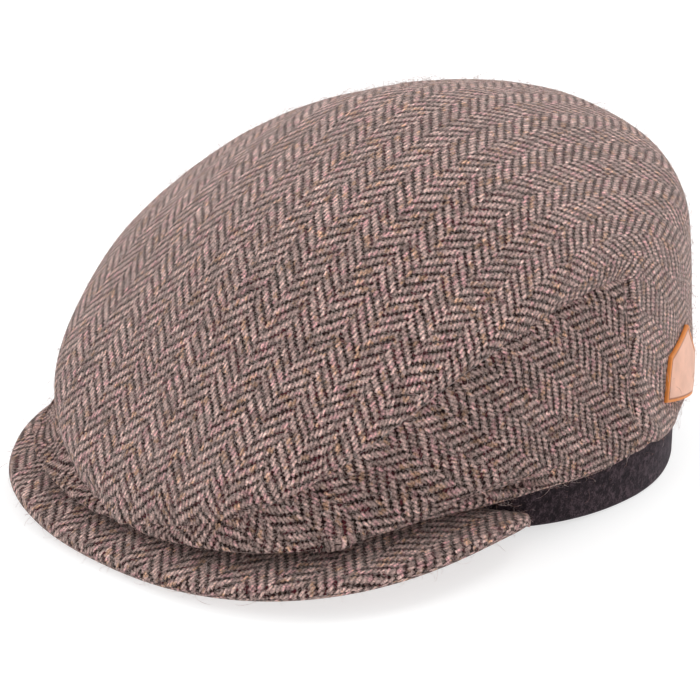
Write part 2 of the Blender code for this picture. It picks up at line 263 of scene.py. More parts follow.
# the same for the top panel: a cap with its pole at the apex, and a flap down to the hem in front
# and behind
def topLayout():
    front, rows = topCut["frontColumns"], topCut["rows"]
    corner = front + topCut["sideColumns"]
    along = np.linspace(0, 1, topCut["sideColumns"] + 1) ** sideCut["columnPower"]
    turns = np.concatenate([
        np.linspace(0, seam["tipTurn"], front + 1)[:-1],
        blend(seam["tipTurn"], seam["cornerTurn"], along),
        np.linspace(seam["cornerTurn"], math.pi, topCut["backColumns"] + 1)[1:]])
    lowest = frontLevel(np.minimum(turns, seam["cornerTurn"]))
    place = np.arange(len(turns))
    onSeam = (place >= front) & (place <= corner)
    lowest = np.where(onSeam, pullLevel(turns, lowest, seam["gap"] / 2), lowest)
    turns = np.concatenate([turns, -turns[-2:0:-1]])
    lowest = np.concatenate([lowest, lowest[-2:0:-1]])
    count = len(turns)
    rise = np.linspace(0, 1, rows + 1)[None, :-1] ** topCut["rowPower"]
    capLevel = blend(lowest[:, None], topLevel, rise)
    capTurn = np.broadcast_to(turns[:, None], capLevel.shape)
    apex = count * rows
    cap = np.arange(apex).reshape(count, rows)
    cap = np.hstack([np.vstack([cap, cap[:1]]), np.full((count + 1, 1), apex)])
    allTurns, allLevels = [capTurn.ravel(), [0.0]], [capLevel.ravel(), [float(topLevel)]]
    grids = [(cap, True)]
    start = apex + 1
    for middle, span in ((0.0, np.arange(-front, front + 1) % count),
                         (math.pi, np.arange(corner, count - corner + 1))):
        share = np.linspace(-1, 1, len(span))[:, None]
        level = lowest[span[0]] * np.linspace(0, 1, topCut["flapRows"] + 1)[None, :-1]
        if middle == 0:
            half = pullTurn(seam["tipTurn"], level, -seam["gap"] / 2)
        else:
            half = math.pi - pullTurn(rearTurn(level), level, seam["gap"] / 2)
        turn = middle + share * half
        level = np.broadcast_to(level, turn.shape)
        flap = start + np.arange(turn.size).reshape(turn.shape)
        start += turn.size
        grids.append((np.hstack([flap, cap[span, :1]]), False))
        allTurns.append(turn.ravel())
        allLevels.append(level.ravel())
    return np.concatenate(allTurns), np.concatenate(allLevels), grids


def newObject(name, data):
    item = bpy.data.objects.new(name, data)
    bpy.context.scene.collection.objects.link(item)
    return item


# the point at each corner of the mesh's faces
def cornerPoints(mesh):
    corners = np.zeros(len(mesh.loops), int)
    mesh.loops.foreach_get("vertex_index", corners)
    return corners


# the flat cut of a panel: a coarse mesh of it is unwrapped, scaled to true size and turned so
# that the columns of the weave run along v
def flatCut(points, grids, flip, grain):
    mesh = bpy.data.meshes.new("flatCut")
    faces = [face for grid, _ in grids for face in gridFaces(grid, flip)]
    mesh.from_pydata(points.tolist(), [], faces)
    mesh.uv_layers.new(name="cloth")
    item = newObject("flatCut", mesh)
    bpy.context.view_layer.objects.active = item
    item.select_set(True)
    bpy.ops.object.mode_set(mode="EDIT")
    bpy.ops.mesh.select_all(action="SELECT")
    bpy.ops.uv.unwrap(method="MINIMUM_STRETCH", margin=0.0, iterations=20)
    bpy.ops.object.mode_set(mode="OBJECT")
    mesh = item.data
    found = np.zeros(len(mesh.loops) * 2)
    mesh.uv_layers["cloth"].uv.foreach_get("vector", found)
    cut = np.zeros((len(points), 2))
    cut[cornerPoints(mesh)] = found.reshape(-1, 2)
    mesh.calc_loop_triangles()
    corners = np.zeros(len(mesh.loop_triangles) * 3, int)
    mesh.loop_triangles.foreach_get("vertices", corners)
    corners = corners.reshape(-1, 3)
    a, b, c = (points[corners[:, k]] for k in range(3))
    real = np.linalg.norm(np.cross(b - a, c - a), axis=1).sum()
    a, b, c = (cut[corners[:, k]] for k in range(3))
    turned = (b[:, 0] - a[:, 0]) * (c[:, 1] - a[:, 1]) - (b[:, 1] - a[:, 1]) * (c[:, 0] - a[:, 0])
    cut *= math.sqrt(real / abs(turned.sum()))
    if turned.sum() < 0:
        cut[:, 0] *= -1
    bpy.data.objects.remove(item, do_unlink=True)
    start, end = grain(points)
    along = cut[end].mean(0) - cut[start].mean(0)
    cos, sin = unit(along)
    cut = cut @ np.array([[sin, cos], [-cos, sin]])
    middle = cut[start].mean(0)
    return cut - middle


def makePiece(name, points, faces, material, uv=None, uvName="cloth"):
    mesh = bpy.data.meshes.new(name)
    shifted = points + np.array([0.0, middleBack, 0.0])
    mesh.from_pydata(shifted.tolist(), [], faces)
    if uv is not None:
        layer = mesh.uv_layers.new(name=uvName)
        layer.uv.foreach_set("vector", uv[cornerPoints(mesh)].ravel())
    mesh.shade_smooth()
    mesh.materials.append(material)
    return newObject(name, mesh)


# a plain mesh of what the object's modifiers make
def settle(item):
    bpy.context.view_layer.update()
    settled = bpy.data.meshes.new_from_object(item.evaluated_get(bpy.context.evaluated_depsgraph_get()))
    old = item.data
    item.modifiers.clear()
    item.data = settled
    bpy.data.meshes.remove(old)
    settled.name = item.name


# a wall on one side of the surface, with softened edges
def thicken(item, thickness, side, softness):
    wall = item.modifiers.new("wall", "SOLIDIFY")
    wall.thickness = thickness
    wall.offset = side
    edge = item.modifiers.new("edge", "BEVEL")
    edge.width = softness
    edge.segments = 2
    edge.limit_method = "ANGLE"
    edge.angle_limit = math.radians(50)
    settle(item)


# faces of a closed shell turned outwards, and its doubles merged where a distance is given
def turnOutwards(item, merge=None):
    mesh = bmesh.new()
    mesh.from_mesh(item.data)
    if merge:
        bmesh.ops.remove_doubles(mesh, verts=mesh.verts, dist=merge)
    bmesh.ops.recalc_face_normals(mesh, faces=mesh.faces)
    mesh.to_mesh(item.data)
    mesh.free()
    item.data.shade_smooth()


# distance from each point to the line, up to a limit, worked out in parts to save memory
def nearest(points, line, limit=0.02):
    best = np.full(len(points), limit)
    for start in range(0, len(points), 4000):
        part = points[start:start + 4000]
        apart = np.linalg.norm(part[:, None, :] - line[None], axis=2).min(1)
        best[start:start + 4000] = np.minimum(apart, limit)
    return best


# degrees from the front, the same on both sides
def degreesAside(turn):
    return np.degrees(np.abs((turn + math.pi) % (2 * math.pi) - math.pi))


# the hem rides up a little over the band behind the side panels
def hemLifted(turn, level):
    away = (degreesAside(turn) - fold["hemTurn"]) / fold["hemSpread"]
    return level + fold["hemLift"] * np.exp(-away ** 2) * np.maximum(1 - level / fold["hemReach"], 0)


# on each side the crown bulges over a crease, and the strip below it lies back
def foldPush(turn, level):
    around = degreesAside(turn)
    line = np.interp(around, fold["turns"], fold["levels"])
    share = np.exp(-((around - fold["middle"]) / fold["spread"]) ** 2)
    above = smooth(line - fold["creaseBelow"], line + fold["creaseAbove"], level)
    past = np.maximum(level - line - fold["creaseAbove"], 0)
    bulge = fold["bulge"] * above * np.exp(-(past / fold["bulgeReach"]) ** 2)
    tuck = fold["tuck"] * (1 - above) * smooth(fold["tuckFrom"], fold["tuckTo"], level)
    return share * (bulge - tuck)


def seamLine(hand):
    turns = np.linspace(seam["tipTurn"], seam["cornerTurn"], 500)
    levels = np.linspace(0, seam["levels"][-1], 160)
    return np.vstack([crownSurface(hand * turns, frontLevel(turns)),
                      crownSurface(hand * rearTurn(levels), hemLifted(rearTurn(levels), levels))])


# shader maths: a socket that adds nodes when it is used in an expression
class Wire:
    tree = None

    def __init__(self, socket=None):
        self.socket = socket

    def node(self, kind, settings=None, inputs=None, output=0):
        made = Wire.tree.nodes.new(kind)
        for name, value in (settings or {}).items():
            setattr(made, name, value)
        for name, value in (inputs or {}).items():
            if isinstance(value, Wire):
                Wire.tree.links.new(value.socket, made.inputs[name])
            else:
                made.inputs[name].default_value = value
        return Wire(made.outputs[output])

    def maths(self, operation, *values):
        return self.node("ShaderNodeMath", {"operation": operation}, dict(enumerate(values)))

    def __add__(self, other):
        return self.maths("ADD", self, other)

    def __sub__(self, other):
        return self.maths("SUBTRACT", self, other)

    def __mul__(self, other):
        return self.maths("MULTIPLY", self, other)

    def __truediv__(self, other):
        return self.maths("DIVIDE", self, other)

    def __mod__(self, other):
        return self.maths("FLOORED_MODULO", self, other)

    def __pow__(self, other):
        return self.maths("POWER", self, other)

    def __lt__(self, other):
        return self.maths("LESS_THAN", self, other)

    def __rsub__(self, other):
        return self.maths("SUBTRACT", other, self)

    __radd__ = __add__
    __rmul__ = __mul__

    def out(self, index):
        return Wire(self.socket.node.outputs[index])

    # the three values of a colour
    def parts(self):
        split = self.node("ShaderNodeSeparateColor", None, {0: self})
        return split, split.out(1), split.out(2)

    # low where this value is 0, high where it is 1
    def between(self, low, high):
        return low + (high - low) * self

    def times(self, shade):
        return self.node("ShaderNodeVectorMath", {"operation": "SCALE"}, {0: self, "Scale": shade})

    def floor(self):
        return self.maths("FLOOR", self)

    def fract(self):
        return self.maths("FRACT", self)

    def clamp(self, low=0.0, high=1.0):
        return self.maths("MINIMUM", self.maths("MAXIMUM", self, low), high)

    def step(self, low, high):
        return self.node("ShaderNodeMapRange", {"interpolation_type": "SMOOTHSTEP"},
                         {"Value": self, "From Min": low, "From Max": high})

    def mixColour(self, first, second):
        return self.node("ShaderNodeMix", {"data_type": "RGBA"}, {0: self, 6: first, 7: second}, 2)


wire = Wire()


def newMaterial(name):
    material = bpy.data.materials.new(name)
    material.use_nodes = True
    material.node_tree.nodes.clear()
    Wire.tree = material.node_tree
    return material


def finishMaterial(constants, links):
    shader = Wire.tree.nodes.new("ShaderNodeBsdfPrincipled")
    for name, value in constants.items():
        shader.inputs[name].default_value = value
    for name, value in links.items():
        Wire.tree.links.new(value.socket, shader.inputs[name])
    out = Wire.tree.nodes.new("ShaderNodeOutputMaterial")
    Wire.tree.links.new(shader.outputs[0], out.inputs["Surface"])


# linear colour from the 0 to 255 values of a colour picker
def picked(red, green, blue):
    values = [v / 255 for v in (red, green, blue)]
    return tuple(v / 12.92 if v < 0.04045 else ((v + 0.055) / 1.055) ** 2.4 for v in values) + (1.0,)


def noise(vector, scale, detail, roughness, dimensions="3D", output=0):
    inputs = {"Vector": vector, "Scale": scale, "Detail": detail, "Roughness": roughness}
    return wire.node("ShaderNodeTexNoise", {"noise_dimensions": dimensions}, inputs, output)


# a weave of light yarns along v over dark yarns along u, two over and two under; the lean of its
# ribs changes from column to column and the ribs break there
tweed = {
    "pitch": 0.00106, "yarnsPerColumn": 8, "bulge": 0.32, "relief": 0.00048,
    # the yarns wander slowly over the panel, a little from bead to bead, and in their fuzzy borders:
    # scale of the noise and how far it shifts them
    "wander": ((28.0, 0.0022), (190.0, 0.0009), (1050.0, 0.00062)),
    # how far out of place a float's side and its end may lie, as shares of its width and length
    "slip": 0.3, "slide": 0.24,
    "hueScale": 210.0, "patchScale": 95.0, "gritScale": 1500.0, "grit": 3.6,
    "strandScale": 330.0, "strandWidth": 0.013,
    # lowest and highest shade that the relief gives (painted shade that darkens the low gaps between
    # yarns), and that the float's own draw, the patches and the grit give
    "paintedGapShade": (0.34, 1.20), "byFloat": (0.60, 1.38), "byPatch": (0.70, 1.28), "byGrit": (0.36, 1.64),
    "light": picked(208, 176, 168), "lightRose": picked(200, 154, 154), "lightTan": picked(200, 158, 132),
    "dark": picked(55, 32, 31), "darkWine": picked(86, 37, 44), "darkMoss": picked(62, 50, 43),
    "fibre": picked(222, 200, 192), "sheenTint": picked(240, 224, 218),
    # painted shade (how bright the weave's colour is made on each piece, the side panels darker than the
    # top), sheen and shift of the weave on each piece
    "pieces": {"topTweed": (0.94, 0.75, (0.0035, 0.0)), "leftTweed": (0.75, 0.2, (0.0012, 0.003)),
               "rightTweed": (0.75, 0.2, (0.0021, 0.001)), "peakTweed": (0.95, 0.5, (0.0, 0.002))},
}


def tweedMaterial(name):
    paintedPanelShade, sheen, shift = tweed["pieces"][name]
    material = newMaterial(name)
    cloth = wire.node("ShaderNodeUVMap", {"uv_map": "cloth"})
    place = wire.node("ShaderNodeTexCoord", output=3)
    at = wire.node("ShaderNodeSeparateXYZ", None, {0: cloth})
    across, down = at + shift[0], at.out(1) + shift[1]
    for scale, reach in tweed["wander"]:
        sideways, lengthways, _ = noise(cloth, scale, 2.0, 0.6, "2D", 1).parts()
        across = across + (sideways - 0.5) * reach
        down = down + (lengthways - 0.5) * reach
    # the yarns that cross here, and how far across each of them this is
    u, v = across / tweed["pitch"], down / tweed["pitch"]
    lightYarn, darkYarn = u.floor(), v.floor()
    inLight, inDark = u.fract(), v.fract()
    column = (lightYarn / tweed["yarnsPerColumn"]).floor()
    odd = column % 2.0
    turn = darkYarn + (1 - 2 * odd) * lightYarn + odd
    phase = turn % 4.0
    # a light float lies over two dark yarns and bulges a little past them at both ends
    over = tweed["bulge"]
    lightTurn = turn + inDark + over
    isLight = lightTurn % 4.0 < (2 + 2 * over)
    lightAlong = (lightTurn % 4.0) / (2 + 2 * over)
    darkAlong = ((1 - odd) * (phase - 2 + inLight) + odd * (3 - phase + inLight)) / 2
    # each float has a place of its own, from which its shade, its thickness and its shift are drawn
    spot = wire.node("ShaderNodeCombineXYZ", None, {
        0: isLight * lightYarn + (1 - isLight) * (darkYarn + 0.5),
        1: isLight * (lightTurn / 4).floor() + (1 - isLight) * ((turn / 4).floor() + 0.5),
        2: column})
    drawn = wire.node("ShaderNodeTexWhiteNoise", {"noise_dimensions": "3D"}, {0: spot}, 1)
    shade, thick, slip = drawn.parts()
    side = isLight * inLight + (1 - isLight) * inDark + (slip - 0.5) * tweed["slip"]
    along = isLight * lightAlong + (1 - isLight) * darkAlong + (thick - 0.5) * tweed["slide"]
    roundSide = (1 - (2 * side - 1) ** 2.0).clamp()
    roundAlong = (1 - (2 * along - 1) ** 2.0).clamp()
    height = (roundSide ** 0.6).between(0.25, 1) * (roundAlong ** 0.75).between(0.12, 1)
    height = height * isLight.between(0.62, 1) * thick.between(0.74, 1.26)
    # loose fibres lie over the yarns in every direction: thin bands where a noise crosses its middle
    strand = 0
    for curl in noise(place, tweed["strandScale"], 2.0, 0.55, "3D", 1).parts():
        strand = strand + 1 - (wire.maths("ABSOLUTE", curl - 0.5) / tweed["strandWidth"]).clamp()
    strand = strand.clamp()
    grit = ((noise(place, tweed["gritScale"], 3.0, 0.75) - 0.5) * tweed["grit"] + 0.5).clamp()
    # colours come in patches a few beads long
    rose, earth, wine = noise(cloth, tweed["hueScale"], 2.0, 0.6, "2D", 1).parts()
    light = (rose + (shade - 0.5) * 0.16).step(0.54, 0.66).mixColour(tweed["light"], tweed["lightRose"])
    light = (earth + (slip - 0.5) * 0.12).step(0.57, 0.68).mixColour(light, tweed["lightTan"])
    dark = (wine + (shade - 0.5) * 0.2).step(0.48, 0.62).mixColour(tweed["dark"], tweed["darkWine"])
    dark = (earth + (slip - 0.5) * 0.2).step(0.43, 0.33).mixColour(dark, tweed["darkMoss"])
    patch = noise(place, tweed["patchScale"], 3.0, 0.6)
    colour = (isLight * roundSide.between(0.68, 1)).mixColour(dark, light)
    # painted shade in the gaps between yarns, from the relief's height, times the random shade of each
    # float, patch and grit
    level = height.between(*tweed["paintedGapShade"]) * shade.between(*tweed["byFloat"])
    level = level * patch.between(*tweed["byPatch"]) * grit.between(*tweed["byGrit"])
    # painted shade: each piece's colour is scaled by its own brightness, which makes the side panels
    # darker than the top
    colour = colour.times(level * paintedPanelShade)
    colour = (strand * patch.between(0.26, 0.56)).mixColour(colour, tweed["fibre"])
    relief = height + grit * 0.45 + strand * 0.3 + patch * 0.3
    bump = wire.node("ShaderNodeBump", None,
                     {"Strength": 0.85, "Distance": tweed["relief"], "Height": relief})
    finishMaterial({"Roughness": 0.95, "Specular IOR Level": 0.12, "Sheen Weight": sheen,
                    "Sheen Roughness": 0.3, "Sheen Tint": tweed["sheenTint"]},
                   {"Base Color": colour, "Normal": bump})
    return material


# top panel and side panels; ripples: size, seed and height of each
panels = {
    "coarse": 4, "ripples": ((0.055, 3, 0.00035), (0.018, 4, 0.00008)), "hemCalm": 0.8, "hemReach": 0.25,
    "softness": 0.0006,
    # places between which the weave runs, in metres and degrees from the front
    "grainWidth": 0.004, "grainFront": -0.09, "grainBack": 0.08, "grainBackHeight": 0.04,
    "biasHigh": (50, 62), "biasHighHeight": 0.045, "biasLow": (74, 90), "biasLowHeight": 0.032,
}

# outer surfaces on which loose fibres are scattered later
woolGrounds = {}


# every few rows and columns of the grids, with the points that they keep
def coarseGrids(grids, factor):
    used, made = {}, []
    for grid, cyclic in grids:
        part = grid[::factor, ::factor]
        flat = [used.setdefault(index, len(used)) for index in part.ravel().tolist()]
        made.append((np.array(flat).reshape(part.shape), cyclic))
    return np.array(list(used)), made


# seams pull the cloth into a valley with a soft roll on both sides
def seamPush(points):
    push = np.zeros(len(points))
    for hand in (1, -1):
        away = nearest(points, seamLine(hand))
        push -= seam["valley"] * np.exp(-(away / seam["valleyWidth"]) ** 2)
        push += seam["roll"] * np.exp(-((away - seam["rollAway"]) / seam["rollWidth"]) ** 2)
    return push


def flatArea(uv, faces):
    total = 0.0
    for face in faces:
        corners = uv[face]
        after = np.roll(corners, -1, axis=0)
        total += abs((corners[:, 0] * after[:, 1] - corners[:, 1] * after[:, 0]).sum()) / 2
    return float(total)


def panelPiece(name, node, layout, flip, grain, tweedName):
    turns, levels, grids = layout
    levels = hemLifted(turns, levels)
    points = crownSurface(turns, levels)
    keep, coarse = coarseGrids(grids, panels["coarse"])
    cut = flatCut(points[keep], coarse, flip, grain)
    uv = np.zeros((len(points), 2))
    for (grid, _), (small, cyclic) in zip(grids, coarse):
        uv[grid] = refineGrid(cut[small], panels["coarse"], cyclic)
    outward = slopeOf(crownSurface, turns, levels)
    hem = np.exp(-np.clip(levels, 0, None) / panels["hemReach"])
    push = seamPush(points)
    for size, seed, height in panels["ripples"]:
        push += waviness(points, size, seed) * height
    push = push * (1 - panels["hemCalm"] * hem) + foldPush(turns, levels)
    points = points + outward * push[:, None]
    faces = [face for grid, _ in grids for face in gridFaces(grid, flip)]
    woolGrounds[node] = points, faces
    item = makePiece(name, points, faces, tweeds[tweedName], uv)
    thicken(item, crown["cloth"], -1, panels["softness"])
    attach(item, "root")
    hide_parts(node)
    flatArea(uv, faces)


# the top panel's weave runs from the front over the crown to the back
def topGrain(points):
    middle = np.abs(points[:, 0]) < panels["grainWidth"]
    front = middle & (points[:, 1] < panels["grainFront"])
    back = middle & (points[:, 1] > panels["grainBack"]) & (points[:, 2] > panels["grainBackHeight"])
    return np.where(front)[0], np.where(back)[0]


# the side panels' weave runs on the bias, from the upper front down to the back
def sideGrain(hand):
    def within(turn, span):
        return (turn > math.radians(span[0])) & (turn < math.radians(span[1]))

    def pick(points):
        turn = np.arctan2(hand * points[:, 0], -points[:, 1])
        high = within(turn, panels["biasHigh"]) & (points[:, 2] > panels["biasHighHeight"])
        low = within(turn, panels["biasLow"]) & (points[:, 2] < panels["biasLowHeight"])
        return np.where(high)[0], np.where(low)[0]
    return pick


tweeds = {name: tweedMaterial(name) for name in tweed["pieces"]}
panelPiece("topPanel", "top_panel", topLayout(), False, topGrain, "topTweed")
panelPiece("sidePanelLeft", "side_panel_left",
           sideLayout(1), False, sideGrain(1), "leftTweed")
panelPiece("sidePanelRight", "side_panel_right",
           sideLayout(-1), True, sideGrain(-1), "rightTweed")
print("stage 2: crown panels made")

# peak: a stiff crescent under the same cloth, with a full rounded edge and thin ends
peakCut = {
    "front": 0.149, "halfWidth": 0.094, "widestY": -0.058, "cornerDepth": 0.034, "squareness": 2.5,
    "thickness": 0.0045, "frontEdge": 0.0005, "sideEdge": 0.0100, "cornerEdge": 0.0040,
    "innerDrop": 0.0020, "endTurn": math.radians(65), "cornerSweep": math.radians(118),
    "arch": 0.0005, "endHeight": 0.0065, "endDrop": 6, "columns": 220, "rows": 34, "crowding": 0.25,
    "endThickness": 0.0018, "endSpan": 0.16, "endLower": 0.0014, "outerLower": 2.2, "endPull": 0.7,
    "edgeReach": 0.45, "edgeCloth": 0.4, "underCloth": 0.9, "woolRows": 4,
    "merge": 2e-6, "crease": math.radians(60),
}


def headOval(extra):
    return (head["front"] + extra, head["back"] + extra, head["halfWidth"] + extra, head["widestBack"],
            head["frontSquareness"], head["backSquareness"])


def peakEdge(turn):
    sweep = turn / peakCut["endTurn"] * peakCut["cornerSweep"]
    x, y = roundPoint(peakCut["front"], peakCut["cornerDepth"] + peakCut["widestY"], peakCut["halfWidth"],
                      peakCut["widestY"], peakCut["squareness"], peakCut["squareness"], sweep)
    end = np.where(np.cos(sweep) > 0, peakCut["frontEdge"], peakCut["cornerEdge"])
    height = blend(peakCut["sideEdge"], end, np.cos(sweep) ** 2)
    return np.stack([x, y, height + peakCut["thickness"]], -1)


def makePeak():
    # more columns towards the corners, where the edge turns quickly
    share = np.linspace(-1, 1, peakCut["columns"] + 1)
    turn = peakCut["endTurn"] * (share * (1 + peakCut["crowding"]) - peakCut["crowding"] * share ** 3)
    x, y = roundPoint(*headOval(band["thickness"] + gap), turn)
    z = blend(crown["hemFrontHeight"] - peakCut["innerDrop"], peakCut["endHeight"],
              np.abs(turn / peakCut["endTurn"]) ** peakCut["endDrop"])
    inner = np.stack([x, y, z], -1)[:, None]
    outer = peakEdge(turn)[:, None]
    # both ends run out thin
    end = np.clip((np.abs(turn / peakCut["endTurn"]) - 1) / peakCut["endSpan"] + 1, 0, 1)
    end = end[:, None, None] ** 2
    thick = blend(peakCut["thickness"], peakCut["endThickness"], end)
    inner[..., 2:] -= peakCut["endLower"] * end
    outer[..., 2:] -= peakCut["outerLower"] * peakCut["endLower"] * end
    outer = blend(outer, inner, peakCut["endPull"] * end ** 2)
    rise = np.linspace(0, 1, peakCut["rows"] + 1)[None, :, None]
    top = blend(inner, outer, rise)
    top[..., 2:] += peakCut["arch"] * 4 * rise * (1 - rise)
    # the outer edge is a half round as thick as the peak
    out = unit((outer - inner) * np.array([1.0, 1.0, 0.0]))
    length = np.linalg.norm((outer - inner)[..., :2], axis=-1, keepdims=True)
    radius = np.minimum(thick / 2, length * peakCut["edgeReach"])
    away = rise * length
    back = np.clip((away - (length - radius)) / radius, 0, 1)
    bend = back * math.pi / 2
    shifted = inner + out * np.where(away > length - radius, length - radius + radius * np.sin(bend), away)
    shifted[..., 2] = top[..., 2]
    drop = thick / 2 * (1 - np.cos(bend))
    upper, lower = shifted.copy(), shifted.copy()
    upper[..., 2:] -= drop
    lower[..., 2:] -= thick - drop
    rows = peakCut["rows"] + 1
    points = np.concatenate([upper, lower[:, ::-1]], 1).reshape(-1, 3)
    # cloth runs over the top, round the edge and back underneath
    along = (away + (bend - 1) * peakCut["edgeCloth"] * radius * (back > 0))[..., 0]
    under = 2 * (length + thick * peakCut["underCloth"])[..., 0] - along[:, ::-1]
    reach = np.concatenate([along, under], 1)
    uv = (inner[..., :2] + out[..., :2] * reach[..., None]).reshape(-1, 2)
    grid = np.arange(len(points)).reshape(-1, rows * 2)
    faces = gridFaces(grid, True)
    woolGrounds["peak"] = points, gridFaces(grid[:, :peakCut["rows"] + peakCut["woolRows"]], True)
    # the upright inner wall and the two ends close the shell
    first, last = grid[:, 0], grid[:, -1]
    faces += np.stack([last[:-1], last[1:], first[1:], first[:-1]], -1).tolist()
    for end, flip in ((grid[0], False), (grid[-1], True)):
        for k in range(rows - 1):
            face = [int(end[k]), int(end[k + 1]), int(end[-2 - k]), int(end[-1 - k])]
            faces.append(face[::-1] if flip else face)
    item = makePiece("peakCloth", points, faces, tweeds["peakTweed"], uv)
    turnOutwards(item, peakCut["merge"])
    item.data.set_sharp_from_angle(angle=peakCut["crease"])
    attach(item, "root")
    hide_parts("peak")


makePeak()
print("stage 3: peak made")

# dark wool band: one plain wall with rounded edges; the loose fibres start a few rows up
bandCut = {"columns": 420, "rows": 22, "roundSteps": 7, "bareRows": 6, "relief": 0.0006,
           "fineScale": 2300.0, "clumpScale": 420.0, "softScale": 60.0, "shade": (0.45, 1.35),
           "colour": picked(27, 19, 23), "pale": picked(88, 72, 78), "sheenTint": picked(190, 180, 190)}


def feltMaterial():
    material = newMaterial("blackWool")
    place = wire.node("ShaderNodeTexCoord", output=3)
    fine = noise(place, bandCut["fineScale"], 3.0, 0.75)
    clump = noise(place, bandCut["clumpScale"], 3.0, 0.65)
    soft = noise(place, bandCut["softScale"], 2.0, 0.5)
    colour = (fine * 0.5 + clump * 0.5).step(0.45, 0.64).mixColour(bandCut["colour"], bandCut["pale"])
    colour = colour.times(soft.between(*bandCut["shade"]))
    bump = wire.node("ShaderNodeBump", None,
                     {"Strength": 0.8, "Distance": bandCut["relief"], "Height": fine * 0.4 + clump})
    finishMaterial({"Roughness": 0.98, "Specular IOR Level": 0.08, "Sheen Weight": 0.25,
                    "Sheen Roughness": 0.5, "Sheen Tint": bandCut["sheenTint"]},
                   {"Base Color": colour, "Normal": bump})
    return material


def makeBand():
    turn = np.linspace(0, 2 * math.pi, bandCut["columns"], endpoint=False)[:, None]
    thick = band["thickness"]
    bottom = band["frontLift"] * np.maximum(np.cos(turn), 0) ** 2
    top = crown["hemHeight"] + band["tuck"]
    # section: up the outside, over the top and down the inside, with half rounds at both ends
    rise = np.linspace(0, 1, bandCut["rows"] + 1)[None, :]
    halfTurn = np.linspace(0, math.pi, bandCut["roundSteps"])[None, 1:-1]
    radius = thick / 2
    out = np.concatenate([np.full_like(rise, thick), radius + radius * np.cos(halfTurn),
                          np.zeros_like(rise), radius - radius * np.cos(halfTurn)], 1)
    low, high = bottom + radius, top - radius
    lift = np.concatenate([low + (high - low) * rise, high + radius * np.sin(halfTurn) + 0 * low,
                           high - (high - low) * rise, low - radius * np.sin(halfTurn)], 1)
    spot = np.stack(roundPoint(*headOval(0.0), turn), -1)
    ahead = 1e-4
    along = unit(np.stack(roundPoint(*headOval(0.0), turn + ahead), -1) - spot)
    normal = np.stack([along[..., 1], -along[..., 0]], -1)
    points = np.concatenate([spot + normal * out[..., None], lift[..., None]], -1)
    sections = points.shape[1]
    points = points.reshape(-1, 3)
    grid = np.arange(len(points)).reshape(-1, sections)
    grid = np.vstack([grid, grid[:1]])
    grid = np.hstack([grid, grid[:, :1]])
    woolGrounds["ear_band"] = points, gridFaces(grid[:, bandCut["bareRows"]:bandCut["rows"]])
    item = makePiece("earBand", points, gridFaces(grid), feltMaterial())
    turnOutwards(item)
    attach(item, "root")
    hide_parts("ear_band")


makeBand()
print("stage 4: band made")

# leather tag with a gabled top, a paler face and a pressed line inside its edge
tagCut = {"width": 0.030, "height": 0.0245, "sideHeight": 0.0150, "thickness": 0.0014, "softness": 0.00035,
          "turn": math.radians(113), "level": 1.88, "lean": math.radians(20), "columns": 60, "rows": 44,
          "border": (0.0009, 0.0013), "lineOuter": (0.0008, 0.0011), "lineInner": (0.0013, 0.0017),
          "grainScale": 1500.0, "cloudScale": 120.0, "shade": (0.72, 1.26), "roughness": (0.42, 0.62),
          "relief": 0.00025,
          "face": picked(232, 180, 156), "edge": picked(228, 138, 62), "line": picked(150, 84, 42)}


def leatherMaterial():
    material = newMaterial("tanLeather")
    place = wire.node("ShaderNodeTexCoord", output=3)
    rim = wire.node("ShaderNodeUVMap", {"uv_map": "tag"})
    inside = wire.node("ShaderNodeSeparateXYZ", None, {0: rim})      # x: distance from the tag's edge
    grain = noise(place, tagCut["grainScale"], 3.0, 0.6)
    cloud = noise(place, tagCut["cloudScale"], 3.0, 0.6)
    border = 1 - inside.step(*tagCut["border"])
    line = inside.step(*tagCut["lineOuter"]) * (1 - inside.step(*tagCut["lineInner"]))
    colour = border.mixColour(tagCut["face"], tagCut["edge"])
    colour = (line * 0.8).mixColour(colour, tagCut["line"])
    colour = colour.times(cloud.between(*tagCut["shade"]))
    bump = wire.node("ShaderNodeBump", None, {"Strength": 0.5, "Distance": tagCut["relief"],
                                              "Height": grain * 0.5 - line * 0.9})
    rough = grain.between(*tagCut["roughness"])
    finishMaterial({"Specular IOR Level": 0.4}, {"Base Color": colour, "Roughness": rough, "Normal": bump})
    return material


def makeTag():
    across = np.linspace(-1, 1, tagCut["columns"] + 1)[:, None]
    rise = np.linspace(0, 1, tagCut["rows"] + 1)[None, :]
    top = blend(tagCut["height"], tagCut["sideHeight"], np.abs(across))
    up = top * rise - tagCut["height"] / 2
    side = across * tagCut["width"] / 2 + 0 * rise
    lean = tagCut["lean"]
    middle = np.full(up.shape, tagCut["level"])
    turn = pullTurn(np.full(up.shape, tagCut["turn"]), middle, side * math.cos(lean) + up * math.sin(lean))
    level = pullLevel(turn, middle, up * math.cos(lean) - side * math.sin(lean))
    slope = slopeOf(crownSurface, turn, level)
    points = crownSurface(turn, level) + slope * gap
    # distance in from the edge: sides, bottom and the two slopes of the gable
    fromSide = tagCut["width"] / 2 - np.abs(side)
    fromBottom = top * rise
    steep = math.atan2(tagCut["height"] - tagCut["sideHeight"], tagCut["width"] / 2)
    fromTop = top * (1 - rise) * math.cos(steep)
    edge = np.minimum(np.minimum(fromSide, fromBottom), fromTop)
    uv = np.stack([edge, side], -1).reshape(-1, 2)
    grid = np.arange(level.size).reshape(level.shape)
    item = makePiece("leatherTag", points.reshape(-1, 3), gridFaces(grid), leatherMaterial(), uv, "tag")
    thicken(item, tagCut["thickness"], 1, tagCut["softness"])
    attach(item, "root")
    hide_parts("leather_tag")


makeTag()
print("stage 5: tag made")

